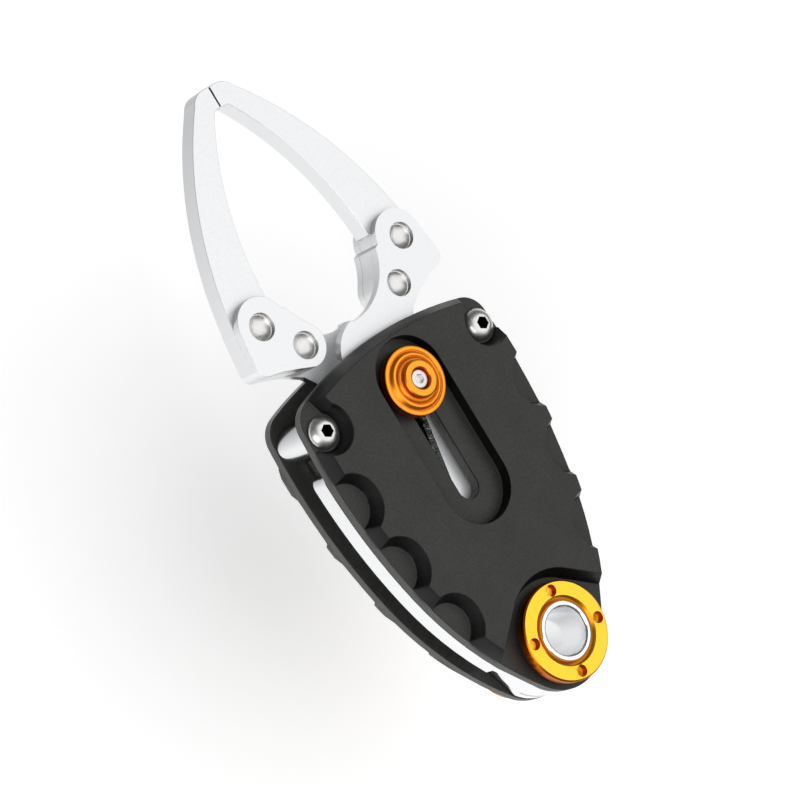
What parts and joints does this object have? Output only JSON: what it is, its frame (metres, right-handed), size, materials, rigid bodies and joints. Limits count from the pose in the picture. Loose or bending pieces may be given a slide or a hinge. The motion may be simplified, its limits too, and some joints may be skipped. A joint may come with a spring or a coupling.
{
  "type": "fish lip gripper",
  "caption": "Pocket fish-lip gripper: two curved jaws closing to a pointed loop, opened by a thumb slider, swinging on a hollow rear axle between scalloped plates.",
  "frame": {"origin": "centre of the hollow axle's bore, half way between the two plates", "axes": "+X to the right jaw's side, +Y along the body towards the jaw tips, +Z along the axle, out of the plate that carries the thumb knob"},
  "size_m": [0.0456, 0.1184, 0.0197],
  "materials": {
    "black_anodised": "satin",
    "satin_aluminium": "satin",
    "stainless": "satin",
    "gold_anodised": "satin",
    "orange_anodised": "satin",
    "polished_tube": "polished",
    "black_plastic": "matte",
    "spring_steel": "satin"
  },
  "bodies": {
    "body": {"front_plate": "black_anodised", "rear_plate": "black_anodised", "left_post": "satin_aluminium", "right_post": "satin_aluminium", "front_screws": "stainless", "rear_screws": "stainless", "hollow_axle": "polished_tube", "front_ring_nut": "gold_anodised", "rear_ring_nut": "gold_anodised", "front_thrust_washer": "black_plastic", "rear_thrust_washer": "black_plastic", "spring_anchor": "satin_aluminium", "return_spring": "spring_steel"},
    "right_jaw_arm": {"upper_arm": "satin_aluminium", "right_jaw": "satin_aluminium", "right_cheek": "satin_aluminium", "right_jaw_pins": "stainless"},
    "left_jaw_arm": {"lower_arm": "satin_aluminium", "left_jaw": "satin_aluminium", "left_cheek": "satin_aluminium", "left_jaw_pins": "stainless"},
    "slider": {"thumb_knob": "orange_anodised", "knob_screw": "stainless", "knob_washer": "black_plastic", "slide_pin": "stainless", "carriage": "black_plastic", "upper_roller": "spring_steel", "lower_roller": "spring_steel"}
  },
  "joints": [
    {"name": "slider_slide", "type": "slide", "parent": "body", "child": "slider", "axis": [0, -1, 0], "range_m": [0, 0.02], "stiffness_N_per_m": 120, "springref_m": -0.01, "deforming": ["return_spring"]},
    {"name": "right_jaw_swing", "type": "hinge", "parent": "body", "child": "right_jaw_arm", "pos_m": [0, 0, 0], "axis": [0, 0, 1], "range_deg": [-8.05, 0]},
    {"name": "left_jaw_swing", "type": "hinge", "parent": "body", "child": "left_jaw_arm", "pos_m": [0, 0, 0], "axis": [0, 0, 1], "range_deg": [0, 8.05]}
  ],
  "couplings": [
    {"joint": "right_jaw_swing", "follows": "slider_slide", "rad_per_m": -6.9813},
    {"joint": "left_jaw_swing", "follows": "slider_slide", "rad_per_m": 6.9813}
  ]
}
